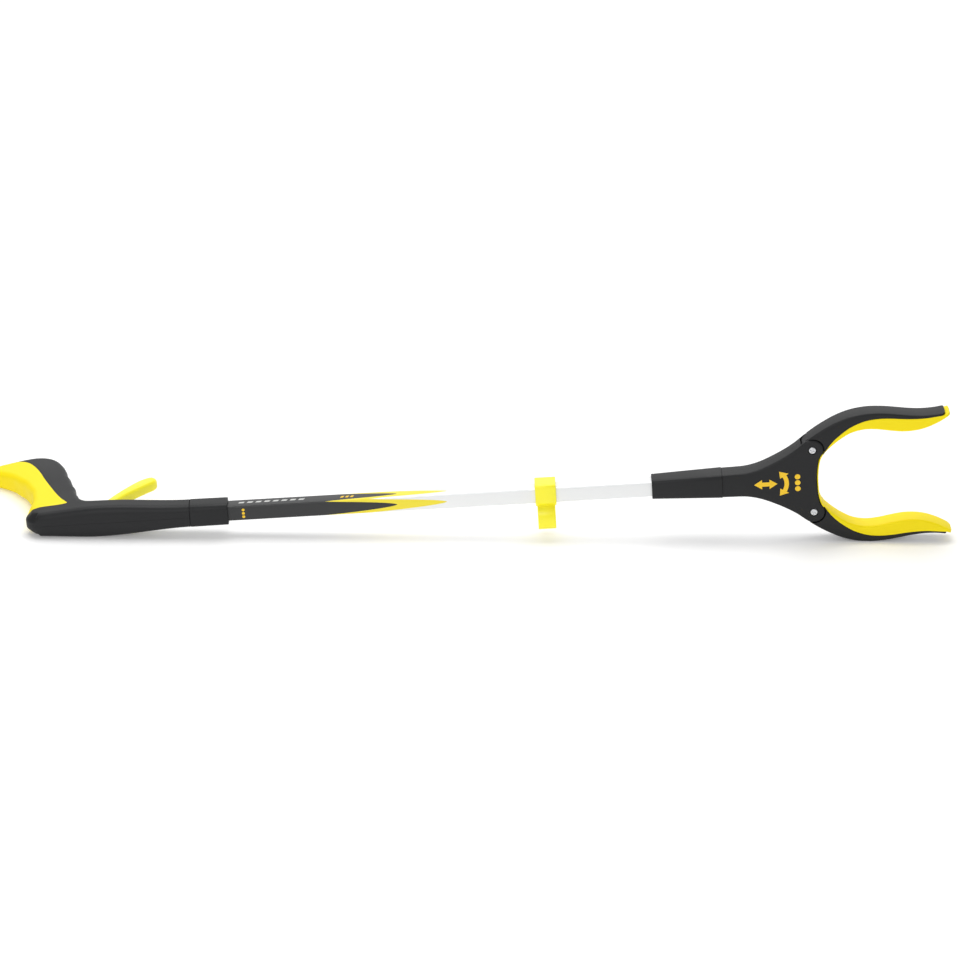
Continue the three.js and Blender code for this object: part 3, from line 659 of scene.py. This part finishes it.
# ---------------------------------------------------------------- trigger
# One glossy yellow ABS lever, moulded with a hub that turns on a steel pin inside the casing, and a blade with
# round edges that curves forward for the fingers.
def glossy_abs():
    """Polished yellow ABS: even colour, a clear gloss and the faint ripple of the mould."""
    material, tree, shader, place = new_material("yellow_abs_polished")
    cloud = node(tree, "ShaderNodeTexNoise", {"Scale": 1 / 0.02, "Detail": 2.0}, {"Vector": place})
    shade = node(tree, "ShaderNodeMix", {6: linear("#fff01a"), 7: linear("#fff82e")},
                 {0: cloud.outputs["Fac"]}, data_type="RGBA")
    rough = node(tree, "ShaderNodeMapRange", {"To Min": 0.28, "To Max": 0.36}, {"Value": cloud.outputs["Fac"]})
    bump = node(tree, "ShaderNodeBump", {"Strength": 0.05, "Distance": 0.0002}, {"Height": cloud.outputs["Fac"]})
    tree.links.new(shade.outputs[2], shader.inputs["Base Color"])
    tree.links.new(rough.outputs[0], shader.inputs["Roughness"])
    tree.links.new(bump.outputs[0], shader.inputs["Normal"])
    shader.inputs["IOR"].default_value = 1.53
    return material


yellow_abs = glossy_abs()


def trigger_lever():
    back = smooth_line([(58.6, -4), (61, 6), (64.2, 16), (68.4, 27), (77, 41.3), (86, 54), (93.4, 62.8),
                        (98.6, 67)], 4)
    tip = [Vector(p) for p in ((101.8, 68.8), (105.2, 69), (108, 67.2), (109.3, 64), (108.6, 61.2))]
    front = smooth_line([(65.4, -4.2), (69.6, 4), (72.8, 14), (77.4, 25.5), (84.4, 35.8), (92.6, 45), (100.6, 53.2),
                         (106.4, 58.6)], 4)
    piece = plate("trigger_lever", back + tip + front[::-1], -5.4, 5.4)
    round_edges(piece, 3.4, 6, 50)
    return piece


lay(trigger_lever(), yellow_abs, "trigger", "trigger")


# ---------------------------------------------------------------- shaft clip
# A yellow ABS sleeve that slides on the tube by its own grip, moulded in one with a springy open ring under it
# that snaps on another tube, such as a walking frame's.
def refined_copy(cad_node, name, width):
    """A copy of a frame node, its loose triangles merged, with its hard edges rounded."""
    piece = copied(frame["nodes"][cad_node], name)
    piece.parent = None
    for key in list(piece.keys()):
        del piece[key]
    edit(piece)
    bpy.ops.mesh.select_all(action="SELECT")
    bpy.ops.mesh.remove_doubles(threshold=0.00001)
    bpy.ops.mesh.dissolve_limited(angle_limit=math.radians(2))
    bpy.ops.object.mode_set(mode="OBJECT")
    finish_modifier(piece, "BEVEL", width=width * MM, segments=3, limit_method="ANGLE",
                    angle_limit=math.radians(35), use_clamp_overlap=True)
    return piece


clip = refined_copy("shaft_clip", "tube_clip", 0.5)
dress(clip, yellow_abs)
tie(clip, "clip", "shaft_clip")


# ---------------------------------------------------------------- head shells
# Two black ABS shells, front and back, screwed together over the jaws' hubs. The neck swells out to two round
# ears, and the mouth between them is hollowed in a smooth curve.
JAW_X, JAW_Z, EAR = 679, 29.2, 9.9
HEAD_HALF, EAR_ROOM, SCREW_ROOM = 9.5, 6.4, 3.7


def head_outline():
    neck = smooth_line([(592, 10.3), (614, 10.8), (622, 11.3), (630, 13), (638, 15.8), (647, 20), (656, 24.8),
                        (664, 29.9), (671.2, 35.6)], 3)
    ear = [Vector((JAW_X + EAR * math.cos(angle), JAW_Z + EAR * math.sin(angle)))
           for angle in (math.radians(126 - 12.7 * k) for k in range(15))]
    mouth = smooth_line([(684.4, 20), (683.3, 13.5), (682.6, 7), (682.3, 0)], 3)
    return neck + ear + mouth


def flat_form(name, half_outline, half):
    """A plate in the x-z plane, the same above and below the shaft's axis."""
    below = [Vector((p.x, -p.y)) for p in reversed(half_outline[:-1])]
    piece = plate(name, half_outline + below, -half, half)
    only(piece)
    piece.rotation_euler.x = math.pi / 2
    bpy.ops.object.transform_apply()
    return piece


def drilled(piece, radius, place, low, high, vertices=48):
    """Drills a round hole along y."""
    bpy.ops.object.select_all(action="DESELECT")
    x, z = place
    bpy.ops.mesh.primitive_cylinder_add(
        vertices=vertices, radius=radius, depth=high - low, location=(x, (low + high) / 2, z),
        rotation=(math.pi / 2, 0, 0))
    combine(piece, bpy.context.object, "DIFFERENCE")


form = flat_form("head_form", head_outline(), HEAD_HALF)
round_edges(form, 2.1, 5, 50)
trim(form, 601.15, -1)
room = [Vector(p) for p in ((610, 7), (628, 9), (647, 15.5), (662, 24.6), (671, 31.5), (679, 19.5), (680, 0))]
combine(form, flat_form("carriage_room", room, 6.3), "DIFFERENCE")
bored(form, SPIGOT_ROOM, 600, 608)
bored(form, RING_ROOM, 606, 640)
for side in (1, -1):
    pivot = (JAW_X, side * JAW_Z)
    drilled(form, EAR + 0.9, pivot, -EAR_ROOM, EAR_ROOM, 72)
    drilled(form, SCREW_ROOM, pivot, -12, -8.1)
    drilled(form, SCREW_ROOM, pivot, 8.1, 12)
for side, name in ((-1, "front"), (1, "back")):
    piece = copied(form, f"head_casing_{name}")
    edit(piece)
    bpy.ops.mesh.select_all(action="SELECT")
    bpy.ops.mesh.bisect(plane_co=(0, side * SEAM_GAP, 0), plane_no=(0, side, 0), use_fill=True, clear_inner=True)
    bpy.ops.object.mode_set(mode="OBJECT")
    lay(piece, black_abs, "head", f"head_shell_{name}")
bpy.data.objects.remove(form)


# ---------------------------------------------------------------- jaws
# Each jaw is a black ABS arm that curves out from its pivot and back in to its tip, with a soft yellow rubber
# pad moulded to its inner face. The pad swells in the middle and stands a little past the arm's tip.
OUTER = [(673.4, 37.5), (678, 40.9), (685, 45.7), (694, 51), (703, 55.3), (714, 58.8), (727, 60.5), (740, 60),
         (752, 58.4), (763, 56.7), (774, 55.8), (785, 56.2), (793, 57.4)]
SEAM = [(680, 30), (685.4, 24.8), (689.6, 27.6), (696, 35.7), (704, 43.2), (714, 50), (726, 54.4), (739, 55.6),
        (752, 54.5), (763, 53.6), (774, 53.3), (784.5, 54.1), (793.2, 55.3)]
BACK = [(688.6, 25.2), (691.4, 29.4), (697, 36.6), (704, 42.9), (713, 49.1), (724, 53.5), (735, 55.1),
        (746, 54.9), (756, 53.9), (766, 53.2), (776, 53.2), (786, 54.3), (793.2, 55.2), (796.6, 57)]
INNER = [(686.6, 22.6), (691, 27.4), (697, 32.9), (704, 38.2), (713, 43.2), (724, 45.6), (735, 45.1), (746, 43.2),
         (756, 41.8), (766, 41.9), (776, 43.8), (786, 47.8), (793.4, 52), (797.6, 55.2)]


JAW_HALF, HUB_HALF = 9.15, 6.2


def bevel_line(piece, line, width, segments):
    """Rounds the edges that run along a line of the x-z plane."""
    edit(piece)
    bpy.ops.mesh.select_mode(type="EDGE")
    mesh = bmesh.from_edit_mesh(piece.data)
    on_line = {vertex.index for vertex in mesh.verts
               if min((Vector((vertex.co.x, vertex.co.z)) - spot).length for spot in line) < 0.02}
    for edge in mesh.edges:
        a, b = edge.verts
        edge.select = a.index in on_line and b.index in on_line and a.co.y * b.co.y > 0
    bmesh.update_edit_mesh(piece.data)
    bpy.ops.mesh.bevel(offset=width, segments=segments, offset_type="OFFSET")
    bpy.ops.mesh.select_mode(type="VERT")
    bpy.ops.object.mode_set(mode="OBJECT")


def around(centre, radius, angle):
    """The point at a radius and an angle in degrees from a centre."""
    return Vector(centre) + radius * Vector((math.cos(math.radians(angle)), math.sin(math.radians(angle))))


def round_tip(piece, x):
    """Rounds a jaw's tip as seen from above: keeps what lies within a bar with rounded corners that ends at x."""
    corner, half = 5, 9.3
    end = [around((x - corner, half - corner), corner, 90 - 15 * k) for k in range(7)]
    outline = [Vector((640, half))] + end + [Vector((p.x, -p.y)) for p in reversed(end)] + [Vector((640, -half))]
    combine(piece, plate("tip_tool", outline, -70, 70), "INTERSECT")


def jaw_arm():
    """The arm, notched to fit between the casing's ears, with its round hub and the lever that the rod moves."""
    outer = smooth_line(OUTER, 4)
    arm = beam("jaw", outer, smooth_line(SEAM, 4), JAW_HALF)
    bevel_line(arm, outer, 1.6, 4)
    round_tip(arm, 793.3)
    for low, high in ((-12, -HUB_HALF), (HUB_HALF, 12)):
        drilled(arm, EAR + 0.55, (JAW_X, JAW_Z), low, high, 72)
    bpy.ops.object.select_all(action="DESELECT")
    bpy.ops.mesh.primitive_cylinder_add(
        vertices=64, radius=EAR - 0.3, depth=2 * HUB_HALF - 0.1, location=(JAW_X, 0, JAW_Z),
        rotation=(math.pi / 2, 0, 0))
    combine(arm, bpy.context.object, "UNION")
    lever = beam("lever", [(675.8, 28.5), (672.9, 13)], [(682.2, 29.9), (679.3, 14.4)], 3)
    combine(arm, lever, "UNION")
    return arm


def jaw_pad():
    """The soft pad, from the hub to just past the arm's tip."""
    inner = smooth_line(INNER, 4)
    pad = beam("pad", smooth_line(BACK, 4), inner, JAW_HALF)
    bevel_line(pad, inner, 1.7, 5)
    round_tip(pad, 797.6)
    return pad


def mirrored(piece, name):
    """The lower jaw's copy of an upper piece, turned over about the shaft."""
    twin = copied(piece, name)
    only(twin)
    twin.rotation_euler.x = math.pi
    bpy.ops.object.transform_apply()
    return twin


upper_arm, upper_pad = jaw_arm(), jaw_pad()
lower_arm, lower_pad = mirrored(upper_arm, "jaw_lower_arm"), mirrored(upper_pad, "jaw_lower_pad")
upper_arm.name, upper_pad.name = "jaw_upper_arm", "jaw_upper_pad"
lay(upper_arm, black_abs, "upper_jaw", "jaw_arm_upper")
lay(lower_arm, black_abs, "lower_jaw", "jaw_arm_lower")
lay(upper_pad, yellow_rubber, "upper_jaw", "jaw_pad_upper")
lay(lower_pad, yellow_rubber, "lower_jaw", "jaw_pad_lower")


# ---------------------------------------------------------------- mouth web
# A thin band of the same rubber, moulded in one with the pads, that runs from pad to pad across the head's mouth.
# Each half flexes between the head and its own jaw in use; here both halves are only laid and shaded, tied to no body.
def web_half():
    outside = smooth_line([(688.5, 24.6), (686.9, 22.3), (685.4, 18.5), (684.3, 12.5), (683.7, 6), (683.5, 0)], 4)
    inside = smooth_line([(687.6, 25.2), (686, 22.8), (684.5, 18.7), (683.3, 12.7), (682.8, 6.1), (682.6, 0)], 4)
    web = beam("web", inside, outside, 8.9)
    round_edges(web, 0.3, 2, 45)
    return web


upper_web = web_half()
lower_web = mirrored(upper_web, "mouth_web_lower")
upper_web.name = "mouth_web_upper"
for web, jaw, side in ((upper_web, "upper_jaw", 1), (lower_web, "lower_jaw", -1)):
    lay_down(web)
    dress(web, yellow_rubber, 40)
    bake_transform(web)
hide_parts("mouth_web")


# ---------------------------------------------------------------- pivot screws
# Two pan-head screws with a cross recess, of zinc plated steel, sunk in the front shell. They hold the two
# shells together, and the jaws turn on their shanks.
def zinc_steel():
    """Zinc plated steel: bright, with a soft grey sheen and the faint mottle of the plating."""
    material, tree, shader, place = new_material("zinc_plated_steel")
    cloud = node(tree, "ShaderNodeTexNoise", {"Scale": 1 / 0.0015, "Detail": 3.0}, {"Vector": place})
    shade = node(tree, "ShaderNodeMix", {6: linear("#c9cbce"), 7: linear("#dfe0e2")},
                 {0: cloud.outputs["Fac"]}, data_type="RGBA")
    rough = node(tree, "ShaderNodeMapRange", {"To Min": 0.25, "To Max": 0.4}, {"Value": cloud.outputs["Fac"]})
    tree.links.new(shade.outputs[2], shader.inputs["Base Color"])
    tree.links.new(rough.outputs[0], shader.inputs["Roughness"])
    shader.inputs["Metallic"].default_value = 0.85
    return material


steel = zinc_steel()


def pivot_screw(name, side):
    """A screw's head with two crossed slots, on its shank."""
    bpy.ops.object.select_all(action="DESELECT")
    bpy.ops.mesh.primitive_cylinder_add(
        vertices=40, radius=3.1, depth=1.3, location=(JAW_X, -8.75, side * JAW_Z), rotation=(math.pi / 2, 0, 0))
    piece = bpy.context.object
    piece.name = name
    bpy.ops.object.transform_apply()
    edit(piece)
    pick(piece, lambda co: co.y < -9)
    bpy.ops.mesh.bevel(offset=0.7, segments=4)
    bpy.ops.object.mode_set(mode="OBJECT")
    for turn in (20, 110):
        slot = block("slot", (-2.1, -10, -0.5), (2.1, -8.7, 0.5))
        slot.rotation_euler.y = math.radians(turn)
        slot.location = (JAW_X, 0, side * JAW_Z)
        only(slot)
        bpy.ops.object.transform_apply()
        combine(piece, slot, "DIFFERENCE")
    bpy.ops.object.select_all(action="DESELECT")
    bpy.ops.mesh.primitive_cylinder_add(
        vertices=24, radius=2, depth=17, location=(JAW_X, 0.3, side * JAW_Z), rotation=(math.pi / 2, 0, 0))
    combine(piece, bpy.context.object, "UNION")
    return piece


for side, name in ((1, "upper"), (-1, "lower")):
    lay(pivot_screw(f"pivot_screw_{name}", side), steel, "head", f"jaw_screw_{name}")


# ---------------------------------------------------------------- printed marks
# Thin ink, pad-printed on the head and the tube: the arrows for pulling and turning the head with three dots
# beside them, and plain dots, dashes and bars on the black end of the tube.
def ink(name, dark, light):
    """Pad-printing ink: even, slightly mottled and satin."""
    material, tree, shader, place = new_material(name)
    cloud = node(tree, "ShaderNodeTexNoise", {"Scale": 1 / 0.0012, "Detail": 2.0}, {"Vector": place})
    shade = node(tree, "ShaderNodeMix", {6: linear(dark), 7: linear(light)},
                 {0: cloud.outputs["Fac"]}, data_type="RGBA")
    tree.links.new(shade.outputs[2], shader.inputs["Base Color"])
    shader.inputs["Roughness"].default_value = 0.45
    return material


yellow_ink = ink("yellow_pad_print_ink", "#f6c20e", "#ffd420")
white_ink = ink("white_pad_print_ink", "#b9bab8", "#d8d9d7")
INK = 0.05


def printed(name, outlines, low, turn, material, body, slot):
    """Flat shapes drawn in the x-y plane, joined into one print and turned onto their face."""
    marks = [plate(f"{name}_{i}", outline, low, low + INK) for i, outline in enumerate(outlines)]
    only(*marks)
    bpy.ops.object.join()
    piece = bpy.context.object
    piece.name = name
    piece.rotation_euler.x = turn
    bpy.ops.object.transform_apply()
    return lay(piece, material, body)


def straight_arrow(x, reach, head, wide, thin):
    """A straight double arrow: half of it is drawn from the tip, and the rest is its mirror image."""
    right = [(reach, 0), (reach - head, wide), (reach - head, thin)]
    left = [(-a, b) for a, b in reversed(right)]
    under = [(a, -b) for a, b in reversed((right + left)[1:-1])]
    return [Vector((x + a, b)) for a, b in right + left + under]


def curved_arrow(centre, radius, reach, head, wide, thin):
    """A double arrow along an arc that bulges forward."""
    start = reach - head
    turns = [start - 2 * start * k / 8 for k in range(9)]
    outside = [around(centre, radius + thin, angle) for angle in turns]
    inside = [around(centre, radius - thin, angle) for angle in reversed(turns)]
    return ([around(centre, radius, reach), around(centre, radius + wide, start)] + outside
            + [around(centre, radius + wide, -start), around(centre, radius, -reach),
               around(centre, radius - wide, -start)] + inside + [around(centre, radius - wide, start)])


def disc(x, y, radius, sides=20):
    return [around((x, y), radius, 360 * k / sides) for k in range(sides)]


def slanted_bar(x, y, length, height):
    return [Vector((x + a * length + b * height * 0.5, y + b * height))
            for a, b in ((-0.5, -0.5), (0.5, -0.5), (0.5, 0.5), (-0.5, 0.5))]


# Turned by a quarter about x, a shape's y becomes z and its z becomes -y.
FRONT = math.pi / 2
head_marks = [straight_arrow(638.2, 10, 6.8, 4.4, 1.9), curved_arrow((642.9, 0), 13.3, 58, 27, 4.3, 1.9)]
head_marks += [disc(665.6, z, 2.4) for z in (-5.6, 0, 5.6)]
dots = [disc(188.4, z, 1.3, 14) for z in (-3.2, 0, 3.2)]
dashes = [slanted_bar(187 + 7.4 * k, 0, 4.6, 2.6) for k in range(8)]
bars = [slanted_bar(274 + 4.2 * k, 0, 2.4, 3) for k in range(3)]
printed("head_marks", head_marks, HEAD_HALF, FRONT, yellow_ink, "head", "yellow_plastic")
printed("tube_dots", dots, TUBE_HALF, FRONT, yellow_ink, "handle", "yellow_plastic")
printed("tube_dashes", dashes, TUBE_HALF, 0, white_ink, "handle", "white_plastic")
printed("tube_bars", bars, TUBE_HALF, 0, yellow_ink, "handle", "yellow_plastic")


# ---------------------------------------------------------------- inner works
# The rod, clevis, guides, carriage, pins, swivel and springs stay as the frame holds them, each in its real
# finish. Two wire springs shorten in use, one as the trigger pulls the rod and one as the head is pulled out; here each
# only gets a mesh of its own.
def white_acetal():
    """Natural acetal: off-white, waxy and smooth, for the sliding pieces inside."""
    material, tree, shader, place = new_material("natural_acetal")
    cloud = node(tree, "ShaderNodeTexNoise", {"Scale": 1 / 0.01, "Detail": 2.0}, {"Vector": place})
    shade = node(tree, "ShaderNodeMix", {6: linear("#e6e3d9"), 7: linear("#f0eee6")},
                 {0: cloud.outputs["Fac"]}, data_type="RGBA")
    tree.links.new(shade.outputs[2], shader.inputs["Base Color"])
    shader.inputs["Roughness"].default_value = 0.4
    return material


acetal = white_acetal()


slots = {part["node"]: part["material_slot"] for part in frame["record"]["subparts"]}
finishes = {"steel": steel, "white_plastic": acetal, "black_plastic": black_abs, "yellow_rubber": yellow_rubber,
            "yellow_plastic": yellow_abs, "aluminium": aluminium}
for name, cad in frame["nodes"].items():
    cad.data.materials.clear()
    cad.data.materials.append(finishes[slots[name]])
SPRINGS = (("return_spring", "rod_slide", 89.8, 0.65), ("swivel_spring", "head_pull", 596.7, 0.72))
for spring, joint, seat, keep in SPRINGS:
    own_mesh(frame["nodes"][spring])
